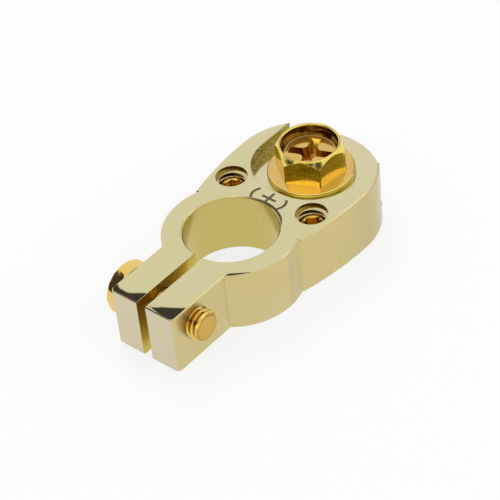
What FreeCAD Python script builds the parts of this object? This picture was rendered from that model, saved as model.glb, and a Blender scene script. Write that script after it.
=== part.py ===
import FreeCAD, Part
import math
import os
import Sketcher

# Battery terminal clamp: one plated brass block that pinches a battery's post, takes a cable
# lug under a flange bolt and two bare wires under set screws. Millimetres throughout.
# The origin is on the post bore's axis, on the bottom face. +Z is up, +Y runs from the post
# towards the cable end, and +X points at the ear that the pinch bolt is screwed into.

Vector = FreeCAD.Vector
UP = Vector(0, 0, 1)
ALONG_Y = Vector(0, 1, 0)

# Driving sizes, kept in the sheet
SIZES = {
    # Block
    "body_height": 12.5,
    "ring_radius": 12.63,
    "edge_break": 0.25,
    # Post bore, a straight lead-in below a cone that narrows upwards as the post does
    "post_top_radius": 8.75,
    "post_lead_radius": 9.25,
    "post_lead_length": 3.0,
    "post_rim_break": 0.25,
    # Ears and slit
    "ear_half_width": 7.21,
    "ear_front": 24.25,
    "ear_corner_round": 0.9,
    "slit_width": 2.08,
    # Cable end, two long side arcs that run into a round end
    "end_centre": 20.43,
    "end_radius": 14.14,
    "shoulder_back": 4.37,
    "shoulder_half_width": 12.15,
    # Pocket for the cable lug, open at the rear
    "pocket_depth": 2.45,
    "pocket_half_width": 10.65,
    "pocket_front": 12.42,
    "pocket_corner_round": 9.2,
    # Terminal bolt
    "terminal_axis": 22.85,
    "terminal_thread_radius": 3.95,
    "terminal_shank": 9.8,
    "terminal_end_chamfer": 0.6,
    "terminal_hex_width": 11.75,
    "terminal_hex_turn": 54.0,
    "terminal_flange_radius": 8.22,
    "terminal_flange_edge": 0.8,
    "terminal_flange_draft": 0.2,
    "terminal_flange_slope": 0.6,
    "terminal_head_height": 6.95,
    "terminal_rim_radius": 5.75,
    "terminal_corner_drop": 1.75,
    "terminal_cup_radius": 5.4,
    "terminal_cup_floor_radius": 4.85,
    "terminal_cup_depth": 2.4,
    "cross_reach": 4.2,
    "cross_width": 1.9,
    "cross_depth": 2.6,
    "cross_corner_round": 0.9,
    "cross_turn": 22.0,
    # Pinch bolt
    "pinch_back": 18.33,
    "pinch_height": 7.65,
    "pinch_thread_radius": 2.95,
    "pinch_shank": 16.75,
    "pinch_end_chamfer": 0.5,
    "pinch_hex_width": 9.45,
    "pinch_hex_turn": 9.5,
    "pinch_head_height": 2.55,
    "pinch_face_radius": 4.85,
    "pinch_corner_drop": 0.35,
    "pinch_base_radius": 4.75,
    "pinch_base_drop": 0.5,
    "pinch_hole_play": 0.3,
    # Set screws
    "screw_spacing": 9.41,
    "screw_back": 11.3,
    "screw_thread_radius": 2.9,
    "screw_length": 5.0,
    "screw_sunk": 2.1,
    "screw_top_chamfer": 0.4,
    "screw_point_radius": 1.5,
    "screw_point_length": 1.4,
    "socket_width": 3.0,
    "socket_depth": 2.6,
    "socket_turn": 15.0,
    # Wire bores from the rear: wide for the insulation, then narrow under the set screw
    "wire_radius": 2.75,
    "conductor_radius": 2.4,
    "wire_height": 5.0,
    "wire_end": 7.6,
    "wire_step_wall": 0.3,
    "drill_point": 1.4,
    # Gap between a screw's thread and its tapped hole
    "thread_play": 0.1,
}


class Term:
    """A length with its value and its expression, so a sketch is drawn where it is bound."""

    def __init__(self, value, text=None):
        self.value = float(value)
        self.text = str(value) if text is None else text

    def __add__(self, other):
        other = term(other)
        return Term(self.value + other.value, f"({self.text} + {other.text})")

    def __sub__(self, other):
        other = term(other)
        return Term(self.value - other.value, f"({self.text} - {other.text})")

    def __mul__(self, factor):
        return Term(self.value * factor, f"({self.text} * {factor})")

    def __truediv__(self, factor):
        return Term(self.value / factor, f"({self.text} / {factor})")

    def __neg__(self):
        return Term(-self.value, f"(-{self.text})")


def term(item):
    """Read a size's name, a plain number or a term as a term."""
    if isinstance(item, Term):
        return item
    if isinstance(item, str):
        return Term(SIZES[item], f"Sizes.{item}")
    return Term(item)


def make_sheet(doc):
    """Put every driving size in the sheet, one alias a row."""
    sheet = doc.addObject("Spreadsheet::Sheet", "Sizes")
    for row, (alias, value) in enumerate(SIZES.items(), start=1):
        sheet.set(f"A{row}", alias)
        sheet.set(f"B{row}", str(value))
        sheet.setAlias(f"B{row}", alias)
    doc.recompute()


def bind(item, prop, value):
    """Bind a property to the sheet."""
    item.setExpression(prop, term(value).text)


def new_body(doc, label):
    """Start a sub-part."""
    body = doc.addObject("PartDesign::Body", label)
    body.Label = label
    return body


def origin_feature(body, role):
    """Find a body's own origin plane or axis by its role."""
    return next(item for item in body.Origin.OriginFeatures if item.Role == role)


def new_sketch(body, name, role, lift=0, turn=None):
    """Attach a sketch to an origin plane, lifted along its normal and turned in it."""
    sketch = body.newObject("Sketcher::SketchObject", name)
    sketch.AttachmentSupport = [(origin_feature(body, role), "")]
    sketch.MapMode = "FlatFace"
    bind(sketch, "AttachmentOffset.Base.z", lift)
    if turn is not None:
        bind(sketch, "AttachmentOffset.Rotation.Angle", turn)
    return sketch


def place(sketch, geometry, point, x, y):
    """Hold a point of a sketch at its coordinates."""
    for kind, axis, value in (("DistanceX", -2, term(x)), ("DistanceY", -1, term(y))):
        if value.text == "0":
            sketch.addConstraint(Sketcher.Constraint("PointOnObject", geometry, point, axis))
            continue
        index = sketch.addConstraint(
            Sketcher.Constraint(kind, -1, 1, geometry, point, value.value))
        bind(sketch, f"Constraints[{index}]", value)


def limit(sketch, kind, geometry, value):
    """Give a circle or an arc its radius."""
    value = term(value)
    index = sketch.addConstraint(Sketcher.Constraint(kind, geometry, value.value))
    bind(sketch, f"Constraints[{index}]", value)


def flat(x, y):
    """A sketch point as a vector."""
    return Vector(term(x).value, term(y).value, 0)


def line(sketch, start, end):
    """Draw a line and return its number."""
    return sketch.addGeometry(Part.LineSegment(flat(*start), flat(*end)), False)


def arc(sketch, centre, start, end):
    """Draw an anticlockwise arc from start to end and return its number."""
    middle = flat(*centre)
    first = flat(*start) - middle
    last = flat(*end) - middle
    circle = Part.Circle(middle, UP, first.Length)
    from_angle = math.atan2(first.y, first.x)
    to_angle = math.atan2(last.y, last.x)
    return sketch.addGeometry(Part.ArcOfCircle(circle, from_angle, to_angle), False)


def join(sketch, kind, first, second):
    """Join the end of one curve to the start of the next, meeting or tangent."""
    sketch.addConstraint(Sketcher.Constraint(kind, first, 2, second, 1))


def draw_circle(sketch, x, y, radius):
    """Draw a circle held at its centre and radius."""
    circle = Part.Circle(flat(x, y), UP, term(radius).value)
    geometry = sketch.addGeometry(circle, False)
    place(sketch, geometry, 3, x, y)
    limit(sketch, "Radius", geometry, radius)


def draw_polygon(sketch, corners):
    """Draw a closed polygon, each corner held at its coordinates."""
    sides = []
    for index, corner in enumerate(corners):
        sides.append(line(sketch, corner, corners[(index + 1) % len(corners)]))
    for index, side in enumerate(sides):
        join(sketch, "Coincident", side, sides[(index + 1) % len(sides)])
        place(sketch, side, 1, *corners[index])


def draw_hexagon(sketch, width):
    """Draw a regular hexagon about the origin, its width across the flats bound."""
    half = term(width) / 2
    corners = []
    for index in range(6):
        angle = math.radians(30 + 60 * index)
        reach = 1 / math.cos(math.radians(30))
        x = half * round(math.cos(angle) * reach, 9)
        y = half * round(math.sin(angle) * reach, 9)
        corners.append((0 if abs(x.value) < 1e-6 else x, y))
    draw_polygon(sketch, corners)


def pad(body, name, sketch, length):
    """Extrude a sketch along its normal."""
    feature = body.newObject("PartDesign::Pad", name)
    feature.Profile = sketch
    bind(feature, "Length", length)
    return feature


def pocket(body, name, sketch, length=None, reverse=False):
    """Cut a sketch's outline against its normal, or through everything."""
    before = body.Tip
    feature = body.newObject("PartDesign::Pocket", name)
    feature.Profile = sketch
    feature.Reversed = reverse
    if length is None:
        feature.Type = "ThroughAll"
    else:
        bind(feature, "Length", length)
    check_cut(before, feature)
    return feature


def turned(body, kind, name, sketch, axis):
    """Add or cut a full turn of a profile about an axis."""
    before = body.Tip
    feature = body.newObject(f"PartDesign::{kind}", name)
    feature.Profile = sketch
    feature.ReferenceAxis = axis
    feature.Angle = 360
    if kind == "Groove":
        check_cut(before, feature)
    return feature


def check_cut(before, feature):
    """Stop if a cut took nothing away."""
    feature.Document.recompute()
    if not feature.Shape.Volume < before.Shape.Volume - 1e-3:
        raise RuntimeError(f"{feature.Name} cuts nothing")


def edges_of(feature, wanted):
    """Name the edges of a feature that a test picks."""
    feature.Document.recompute()
    edges = enumerate(feature.Shape.Edges, start=1)
    return [f"Edge{number}" for number, edge in edges if wanted(edge)]


def round_edges(body, name, radius, wanted):
    """Round the edges that a test picks."""
    base = body.Tip
    names = edges_of(base, wanted)
    feature = body.newObject("PartDesign::Fillet", name)
    feature.Base = (base, names)
    bind(feature, "Radius", radius)
    body.Document.recompute()


def break_edges(body, name, size, wanted):
    """Chamfer the edges that a test picks."""
    base = body.Tip
    names = edges_of(base, wanted)
    feature = body.newObject("PartDesign::Chamfer", name)
    feature.Base = (base, names)
    bind(feature, "Size", size)
    body.Document.recompute()


def is_upright_at(x, y):
    """Test for an upright edge that stands at plus or minus x, and at y."""
    x_value = term(x).value
    y_value = term(y).value

    def wanted(edge):
        box = edge.BoundBox
        upright = box.ZLength > 1 and box.XLength < 1e-3 and box.YLength < 1e-3
        return upright and abs(abs(box.XMin) - x_value) < 1e-3 and abs(box.YMin - y_value) < 1e-3

    return wanted


def is_upright_from_axis(distance):
    """Test for an upright edge that stands at a distance from the z axis."""

    def wanted(edge):
        box = edge.BoundBox
        upright = box.ZLength > 1 and box.XLength < 1e-3 and box.YLength < 1e-3
        return upright and abs(math.hypot(box.XMin, box.YMin) - distance) < 1e-3

    return wanted


def is_level_at(heights):
    """Test for an edge that lies flat at one of the given heights."""
    values = [term(height).value for height in heights]

    def wanted(edge):
        box = edge.BoundBox
        return box.ZLength < 1e-3 and any(abs(box.ZMin - value) < 1e-3 for value in values)

    return wanted


def draw_cable_end(sketch):
    """Draw the block behind the ring: a shoulder line, two side arcs and a round end."""
    shoulder = term("shoulder_half_width")
    front = term("shoulder_back")
    radius = term("end_radius")
    centre = term("end_centre")
    flare = radius.value - shoulder.value
    run = centre.value - front.value
    side_radius = (flare ** 2 + run ** 2) / (2 * flare)
    inset = radius.value - side_radius
    lower = line(sketch, (-shoulder, front), (shoulder, front))
    right = arc(sketch, (inset, centre), (shoulder, front), (radius, centre))
    rear = arc(sketch, (0, centre), (radius, centre), (-radius, centre))
    left = arc(sketch, (-inset, centre), (-radius, centre), (-shoulder, front))
    join(sketch, "Coincident", lower, right)
    join(sketch, "Tangent", right, rear)
    join(sketch, "Tangent", rear, left)
    join(sketch, "Coincident", left, lower)
    place(sketch, lower, 1, -shoulder, front)
    place(sketch, lower, 2, shoulder, front)
    place(sketch, rear, 1, radius, centre)
    place(sketch, rear, 3, 0, centre)
    sketch.addConstraint(Sketcher.Constraint("Horizontal", rear, 3, rear, 2))


def draw_lug_pocket(sketch):
    """Draw the lug's pocket: a rounded front, straight walls and an open rear."""
    half = term("pocket_half_width")
    front = term("pocket_front")
    corner = term("pocket_corner_round")
    back = term("end_centre") + term("end_radius") + term("pocket_depth")
    start = front + corner
    left = line(sketch, (-half, back), (-half, start))
    left_corner = arc(sketch, (corner - half, start), (-half, start), (corner - half, front))
    across = line(sketch, (corner - half, front), (half - corner, front))
    right_corner = arc(sketch, (half - corner, start), (half - corner, front), (half, start))
    right = line(sketch, (half, start), (half, back))
    rear = line(sketch, (half, back), (-half, back))
    join(sketch, "Tangent", left, left_corner)
    join(sketch, "Tangent", left_corner, across)
    join(sketch, "Tangent", across, right_corner)
    join(sketch, "Tangent", right_corner, right)
    join(sketch, "Coincident", right, rear)
    join(sketch, "Coincident", rear, left)
    place(sketch, left, 1, -half, back)
    place(sketch, right, 2, half, back)
    place(sketch, left_corner, 3, corner - half, start)
    place(sketch, right_corner, 3, half - corner, start)
    limit(sketch, "Radius", left_corner, corner)
    limit(sketch, "Radius", right_corner, corner)


def add_block(body):
    """Build the block's outer form: cable end, ring and ears, with broken edges."""
    end = new_sketch(body, "cable_end_outline", "XY_Plane")
    draw_cable_end(end)
    pad(body, "cable_end", end, "body_height")

    ring = new_sketch(body, "ring_outline", "XY_Plane")
    draw_circle(ring, 0, 0, "ring_radius")
    pad(body, "ring", ring, "body_height")

    half = term("ear_half_width")
    front = -term("ear_front")
    ears = new_sketch(body, "ears_outline", "XY_Plane")
    draw_polygon(ears, [(-half, front), (half, front), (half, 0), (-half, 0)])
    pad(body, "ears", ears, "body_height")
    round_edges(body, "ear_corners", "ear_corner_round", is_upright_at(half, front))

    break_edges(body, "outer_edges", "edge_break", is_level_at([0, "body_height"]))


def cut_post_bore(body):
    """Cut the post bore, its broken top rim, and the slit between the ears."""
    top = term("post_top_radius")
    height = term("body_height")
    rim = term("post_rim_break")
    profile = new_sketch(body, "post_profile", "XZ_Plane")
    corners = [
        (0, 0),
        ("post_lead_radius", 0),
        ("post_lead_radius", "post_lead_length"),
        (top, height - rim),
        (top + rim, height),
        (0, height),
    ]
    draw_polygon(profile, corners)
    turned(body, "Groove", "post_bore", profile, (origin_feature(body, "Z_Axis"), [""]))

    half = term("slit_width") / 2
    front = -term("ear_front") - "edge_break"
    slit = new_sketch(body, "slit_outline", "XY_Plane")
    draw_polygon(slit, [(-half, front), (half, front), (half, 0), (-half, 0)])
    pocket(body, "slit", slit, reverse=True)


def cut_cable_end(body):
    """Cut the lug's pocket, the terminal bolt's hole, the wire bores and their screws' holes."""
    height = term("body_height")
    outline = new_sketch(body, "lug_outline", "XY_Plane", lift=height)
    draw_lug_pocket(outline)
    pocket(body, "lug_pocket", outline, "pocket_depth")

    terminal = new_sketch(body, "terminal_hole_outline", "XY_Plane", lift=height)
    hole_radius = term("terminal_thread_radius") + "thread_play"
    draw_circle(terminal, 0, "terminal_axis", hole_radius)
    pocket(body, "terminal_hole", terminal)

    screws = new_sketch(body, "screw_holes_outline", "XY_Plane", lift=height)
    for side in (-1, 1):
        x = term("screw_spacing") * side
        draw_circle(screws, x, "screw_back", term("screw_thread_radius") + "thread_play")
    depth = height - "wire_height" + term("wire_radius") / 2
    pocket(body, "screw_holes", screws, depth)

    cut_wire_bore(body, "left", -1)
    cut_wire_bore(body, "right", 1)


def cut_wire_bore(body, side_name, side):
    """Drill one wire bore: wide from the rear to the set screw's hole, then narrow to its end."""
    axis = term("screw_spacing") * side
    wall = axis + term("wire_radius") * side
    inner_wall = axis + term("conductor_radius") * side
    end = term("wire_end")
    tip = end - "drill_point"
    step = term("screw_back") + "screw_thread_radius" + "thread_play" + "wire_step_wall"
    back = term("end_centre") + "end_radius"
    profile = new_sketch(body, f"wire_profile_{side_name}", "XY_Plane", lift="wire_height")
    corners = [
        (axis, tip),
        (inner_wall, end),
        (inner_wall, step),
        (wall, step),
        (wall, back),
        (axis, back),
    ]
    draw_polygon(profile, corners)
    centre = profile.addGeometry(Part.LineSegment(flat(axis, tip), flat(axis, back)), True)
    place(profile, centre, 1, axis, tip)
    place(profile, centre, 2, axis, back)
    turned(body, "Groove", f"wire_bore_{side_name}", profile, (profile, ["Axis0"]))


def cut_pinch_holes(body):
    """Cut the tapped hole in one ear and the plain hole in the other."""
    back = -term("pinch_back")
    tapped = new_sketch(body, "pinch_tapped_outline", "YZ_Plane")
    tapped_radius = term("pinch_thread_radius") + "thread_play"
    draw_circle(tapped, back, "pinch_height", tapped_radius)
    pocket(body, "pinch_tapped_hole", tapped, reverse=True)
    plain = new_sketch(body, "pinch_plain_outline", "YZ_Plane")
    plain_radius = term("pinch_thread_radius") + "pinch_hole_play"
    draw_circle(plain, back, "pinch_height", plain_radius)
    pocket(body, "pinch_plain_hole", plain)


def make_clamp_body(doc):
    """Build the one-piece block that everything else is screwed into."""
    body = new_body(doc, "clamp_body")
    add_block(body)
    cut_post_bore(body)
    cut_cable_end(body)
    cut_pinch_holes(body)


def cut_corners(body, name, face, drop, radius, width):
    """Cone off a hexagon's corners: from a radius on the face, down by drop at each corner."""
    reach = term(width) / 2 / round(math.cos(math.radians(30)), 9)
    outside = reach * 2 - radius
    profile = new_sketch(body, f"{name}_profile", "XZ_Plane")
    corners = [
        (radius, face),
        (outside, term(face) - drop * 2),
        (outside, term(face) + drop),
        (radius, term(face) + drop),
    ]
    draw_polygon(profile, corners)
    turned(body, "Groove", name, profile, (origin_feature(body, "Z_Axis"), [""]))


def make_terminal_bolt(doc):
    """Build the flange bolt: its underside at z = 0, the shank below, the head above."""
    body = new_body(doc, "terminal_bolt")
    height = term("terminal_head_height")
    edge = term("terminal_flange_edge")
    flange = term("terminal_flange_radius")
    hex_half = term("terminal_hex_width") / 2
    rim = term("terminal_rim_radius")

    hexagon = new_sketch(body, "hex_outline", "XY_Plane", turn="terminal_hex_turn")
    draw_hexagon(hexagon, "terminal_hex_width")
    pad(body, "hex_head", hexagon, height)

    drop = term("terminal_corner_drop")
    cut_corners(body, "crown", height, drop, rim, "terminal_hex_width")

    cup = new_sketch(body, "cup_profile", "XZ_Plane")
    cup_floor = height - "terminal_cup_depth"
    cup_corners = [
        (0, cup_floor),
        ("terminal_cup_floor_radius", cup_floor),
        ("terminal_cup_radius", height),
        (0, height),
    ]
    draw_polygon(cup, cup_corners)
    turned(body, "Groove", "cup", cup, (origin_feature(body, "Z_Axis"), [""]))

    skirt = new_sketch(body, "flange_profile", "XZ_Plane")
    shank = term("terminal_thread_radius")
    chamfer = term("terminal_end_chamfer")
    bottom = -term("terminal_shank")
    skirt_corners = [
        (0, bottom),
        (shank - chamfer, bottom),
        (shank, bottom + chamfer),
        (shank, 0),
        (flange, 0),
        (flange - "terminal_flange_draft", edge),
        (hex_half, edge + "terminal_flange_slope"),
        (0, edge + "terminal_flange_slope"),
    ]
    draw_polygon(skirt, skirt_corners)
    turned(body, "Revolution", "flange_and_shank", skirt, (origin_feature(body, "Z_Axis"), [""]))

    cross = new_sketch(body, "cross_outline", "XY_Plane", lift=cup_floor, turn="cross_turn")
    draw_cross(cross)
    pocket(body, "cross_recess", cross, "cross_depth")
    corner = math.hypot(1, 1) * term("cross_width").value / 2
    round_edges(body, "cross_corners", "cross_corner_round", is_upright_from_axis(corner))

    bind(body, "Placement.Base.y", "terminal_axis")
    bind(body, "Placement.Base.z", term("body_height") - "pocket_depth")


def draw_cross(sketch):
    """Draw the four-armed driver recess."""
    reach = term("cross_reach")
    half = term("cross_width") / 2
    corners = [
        (reach, -half), (reach, half), (half, half),
        (half, reach), (-half, reach), (-half, half),
        (-reach, half), (-reach, -half), (-half, -half),
        (-half, -reach), (half, -reach), (half, -half),
    ]
    draw_polygon(sketch, corners)


def make_pinch_bolt(doc):
    """Build the bolt across the ears, upright, then lay it along X with its head at -X."""
    body = new_body(doc, "pinch_bolt")
    height = term("pinch_head_height")

    hexagon = new_sketch(body, "hex_outline", "XY_Plane", turn="pinch_hex_turn")
    draw_hexagon(hexagon, "pinch_hex_width")
    pad(body, "hex_head", hexagon, height)
    face_drop = term("pinch_corner_drop")
    base_drop = -term("pinch_base_drop")
    cut_corners(body, "crown", height, face_drop, "pinch_face_radius", "pinch_hex_width")
    cut_corners(body, "base", 0, base_drop, "pinch_base_radius", "pinch_hex_width")

    thread = term("pinch_thread_radius")
    bottom = -term("pinch_shank")
    chamfer = term("pinch_end_chamfer")
    shank = new_sketch(body, "shank_profile", "XZ_Plane")
    shank_corners = [
        (0, bottom),
        (thread - chamfer, bottom),
        (thread, bottom + chamfer),
        (thread, height / 2),
        (0, height / 2),
    ]
    draw_polygon(shank, shank_corners)
    turned(body, "Revolution", "shank", shank, (origin_feature(body, "Z_Axis"), [""]))

    body.Placement = FreeCAD.Placement(Vector(), FreeCAD.Rotation(ALONG_Y, -90))
    bind(body, "Placement.Base.x", -term("ear_half_width"))
    bind(body, "Placement.Base.y", -term("pinch_back"))
    bind(body, "Placement.Base.z", "pinch_height")


def make_set_screw(doc, label, side, turn):
    """Build one socket set screw, its top at z = 0 before it is placed."""
    body = new_body(doc, label)
    thread = term("screw_thread_radius")
    chamfer = term("screw_top_chamfer")
    bottom = -term("screw_length")
    point = term("screw_point_radius")
    profile = new_sketch(body, "screw_profile", "XZ_Plane")
    corners = [
        (0, bottom),
        (point, bottom),
        (thread, bottom + "screw_point_length"),
        (thread, -chamfer),
        (thread - chamfer, 0),
        (0, 0),
    ]
    draw_polygon(profile, corners)
    turned(body, "Revolution", "screw", profile, (origin_feature(body, "Z_Axis"), [""]))
    socket = new_sketch(body, "socket_outline", "XY_Plane", turn=turn)
    draw_hexagon(socket, "socket_width")
    pocket(body, "socket", socket, "socket_depth")
    bind(body, "Placement.Base.x", term("screw_spacing") * side)
    bind(body, "Placement.Base.y", "screw_back")
    bind(body, "Placement.Base.z", term("body_height") - "screw_sunk")


def write_parts(doc):
    """Check every object, then write each sub-part's solid under its label."""
    doc.recompute()
    for item in doc.Objects:
        if "Invalid" in item.State or "Error" in item.State:
            raise RuntimeError(f"{item.Name} failed: {item.State}")
    bodies = [item for item in doc.Objects if item.TypeId == "PartDesign::Body"]
    for body in bodies:
        shape = body.Shape
        if shape.isNull() or not shape.isValid() or len(shape.Solids) != 1:
            raise RuntimeError(f"{body.Label} is not one valid solid")
    os.makedirs("parts", exist_ok=True)
    for body in bodies:
        body.Shape.exportStep(f"parts/{body.Label}.step")
        box = body.Shape.BoundBox
        print(f"{body.Label}: volume {body.Shape.Volume:.1f}, x {box.XMin:.2f} to {box.XMax:.2f}, "
              f"y {box.YMin:.2f} to {box.YMax:.2f}, z {box.ZMin:.2f} to {box.ZMax:.2f}")


def main():
    """Build the clamp and write its parts."""
    doc = FreeCAD.newDocument("battery_terminal_clamp")
    make_sheet(doc)
    make_clamp_body(doc)
    make_terminal_bolt(doc)
    make_pinch_bolt(doc)
    make_set_screw(doc, "set_screw_left", -1, term("socket_turn") + 30)
    make_set_screw(doc, "set_screw_right", 1, "socket_turn")
    write_parts(doc)


main()
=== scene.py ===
"""Looks of a battery terminal clamp: threaded screws, a polarity mark, plated finishes, a studio."""

import logging
import math
from dataclasses import dataclass, field
from enum import Enum
from typing import Any, Callable, Optional, Sequence, Union

import bpy
from mathutils import Euler, Matrix, Vector

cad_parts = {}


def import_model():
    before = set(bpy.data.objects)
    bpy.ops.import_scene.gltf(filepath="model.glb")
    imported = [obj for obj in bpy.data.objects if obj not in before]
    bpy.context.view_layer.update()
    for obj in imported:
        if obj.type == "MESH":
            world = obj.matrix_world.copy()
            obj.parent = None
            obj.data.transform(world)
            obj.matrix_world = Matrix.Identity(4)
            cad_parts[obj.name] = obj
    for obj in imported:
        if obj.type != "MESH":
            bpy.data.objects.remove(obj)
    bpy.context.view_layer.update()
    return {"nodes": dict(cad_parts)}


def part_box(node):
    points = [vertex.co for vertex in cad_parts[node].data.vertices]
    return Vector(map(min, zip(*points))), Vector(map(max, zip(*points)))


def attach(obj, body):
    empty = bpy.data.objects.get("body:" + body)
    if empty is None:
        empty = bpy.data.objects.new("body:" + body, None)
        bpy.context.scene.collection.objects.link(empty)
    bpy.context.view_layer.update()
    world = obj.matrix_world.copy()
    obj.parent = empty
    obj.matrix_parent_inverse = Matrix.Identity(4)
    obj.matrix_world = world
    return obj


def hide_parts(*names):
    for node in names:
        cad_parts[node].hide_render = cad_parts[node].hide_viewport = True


LOG = logging.getLogger("battery_clamp")
MM = 0.001
IMAGE_PIXELS = 500
TINY = 1e-8
MERGE = 1e-7
SMOOTH_DEGREES = 28.0
HEX_CORNER = 1 / math.cos(math.radians(30))
HEX_EDGE = 0.18

Point = tuple[float, float]
Span = tuple[float, float]
Colour = tuple[float, float, float]
Way = tuple[float, float, float]
Shares = tuple[float, float, float]
Piece = bpy.types.Object
Material = bpy.types.Material
Socket = bpy.types.NodeSocket


class Cut(Enum):
    """How one solid acts on another."""

    JOIN = "UNION"
    TAKE = "DIFFERENCE"
    KEEP = "INTERSECT"


@dataclass(frozen=True)
class Axis:
    """A turning axis: a start, the way along it, and the way in which radii are drawn."""

    start: Vector
    along: Vector
    out: Vector
    letter: str

    def offset(self, point: Point) -> Vector:
        """Place a profile point against the start.

        Args:
            point: radius and height in millimetres.

        Returns:
            The offset from the start in metres.
        """
        radius, height = point
        return (self.out * radius + self.along * height) * MM


def upright(x: float, y: float, z: float) -> Axis:
    """Make a vertical axis that starts at a point in metres."""
    return Axis(Vector((x, y, z)), Vector((0, 0, 1)), Vector((1, 0, 0)), "Z")


def lengthwise(x: float, y: float, z: float) -> Axis:
    """Make an axis along +X that starts at a point in metres."""
    return Axis(Vector((x, y, z)), Vector((1, 0, 0)), Vector((0, 1, 0)), "X")


def deselect_all() -> None:
    """Leave nothing selected before a new piece is started."""
    bpy.ops.object.select_all(action="DESELECT")


def choose(piece: Piece) -> None:
    """Select one piece and make it the active one.

    Args:
        piece: the piece.
    """
    deselect_all()
    piece.select_set(True)
    bpy.context.view_layer.objects.active = piece


def enter_edit() -> None:
    """Open the active piece in edit mode, with all of it selected."""
    bpy.ops.object.mode_set(mode="EDIT")
    bpy.ops.mesh.select_mode(type="VERT")
    bpy.ops.mesh.select_all(action="SELECT")


def leave_edit() -> None:
    """Close edit mode."""
    bpy.ops.object.mode_set(mode="OBJECT")


def pick_faces(piece: Piece, wanted: Callable[[Any], bool]) -> None:
    """Select faces of the active piece by a test, and stay in edit mode.

    Args:
        piece: the piece that is in edit mode.
        wanted: a test of a mesh polygon.
    """
    bpy.ops.mesh.select_mode(type="FACE")
    bpy.ops.mesh.select_all(action="DESELECT")
    leave_edit()
    for face in piece.data.polygons:
        face.select = wanted(face)
    bpy.ops.object.mode_set(mode="EDIT")


def pick_edges(piece: Piece, wanted: Callable[[Vector, Vector], bool]) -> None:
    """Select edges of the active piece by their two ends, and stay in edit mode.

    Args:
        piece: the piece that is in edit mode.
        wanted: a test of the edge's two end points, in the piece's own coordinates.
    """
    bpy.ops.mesh.select_mode(type="EDGE")
    bpy.ops.mesh.select_all(action="DESELECT")
    leave_edit()
    points = piece.data.vertices
    for edge in piece.data.edges:
        first, last = edge.vertices
        edge.select = wanted(points[first].co, points[last].co)
    bpy.ops.object.mode_set(mode="EDIT")


def draw_profile(axis: Axis, points: Sequence[Point]) -> Piece:
    """Draw an open line of points beside an axis, one extruded from the next.

    Args:
        axis: the axis that the profile will turn about.
        points: radius and height of each point in millimetres.

    Returns:
        The piece, with its origin at the axis's start.
    """
    deselect_all()
    bpy.ops.mesh.primitive_plane_add(size=MM, location=axis.start)
    enter_edit()
    bpy.ops.mesh.merge(type="CENTER")
    bpy.ops.transform.translate(value=axis.offset(points[0]))
    for before, after in zip(points, points[1:]):
        step = axis.offset(after) - axis.offset(before)
        bpy.ops.mesh.extrude_region_move(TRANSFORM_OT_translate={"value": step})
    leave_edit()
    return bpy.context.active_object


def clean_up(piece: Piece) -> None:
    """Merge doubled points and turn every face outwards.

    Args:
        piece: the piece.
    """
    choose(piece)
    enter_edit()
    bpy.ops.mesh.remove_doubles(threshold=MERGE)
    bpy.ops.mesh.normals_make_consistent(inside=False)
    leave_edit()


def turn_profile(axis: Axis, points: Sequence[Point], steps: int = 64) -> Piece:
    """Turn a closed profile a full circle about its axis.

    Args:
        axis: the axis to turn about.
        points: radius and height in millimetres, from the axis round to the axis.
        steps: how many faces go round.

    Returns:
        The turned solid.
    """
    piece = draw_profile(axis, points)
    enter_edit()
    bpy.ops.mesh.spin(steps=steps, angle=math.tau, center=axis.start, axis=axis.along)
    leave_edit()
    clean_up(piece)
    return piece


def apply_all(piece: Piece) -> None:
    """Apply every modifier of a piece.

    Args:
        piece: the piece.
    """
    choose(piece)
    for modifier in list(piece.modifiers):
        bpy.ops.object.modifier_apply(modifier=modifier.name)


def combine(piece: Piece, cut: Cut, tool: Piece) -> None:
    """Join, take or keep a second solid, which is used up.

    Args:
        piece: the solid that is worked on.
        cut: how the tool acts.
        tool: the second solid.
    """
    modifier = piece.modifiers.new("cut", "BOOLEAN")
    modifier.operation = cut.value
    modifier.solver = "EXACT"
    modifier.double_threshold = TINY
    modifier.object = tool
    apply_all(piece)
    bpy.data.objects.remove(tool)


def settle(piece: Piece) -> None:
    """Bring a finished piece to the origin with its place in its mesh, and shade it.

    Args:
        piece: the piece.
    """
    clean_up(piece)
    bpy.ops.object.transform_apply(location=True, rotation=True, scale=True)
    bpy.ops.object.shade_smooth_by_angle(angle=math.radians(SMOOTH_DEGREES))


def arc_points(centre: Point, radius: float, start: float, end: float, count: int = 6) -> list[Point]:
    """List points along an arc.

    Args:
        centre: radius and height of the arc's centre, in millimetres.
        radius: the arc's radius in millimetres.
        start: first angle in degrees, from straight outwards towards up.
        end: last angle in degrees.
        count: how many steps the arc is drawn in.

    Returns:
        The points, both ends included.
    """
    points = []
    for index in range(count + 1):
        angle = math.radians(start + (end - start) * index / count)
        points.append((centre[0] + radius * math.cos(angle), centre[1] + radius * math.sin(angle)))
    return points


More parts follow.
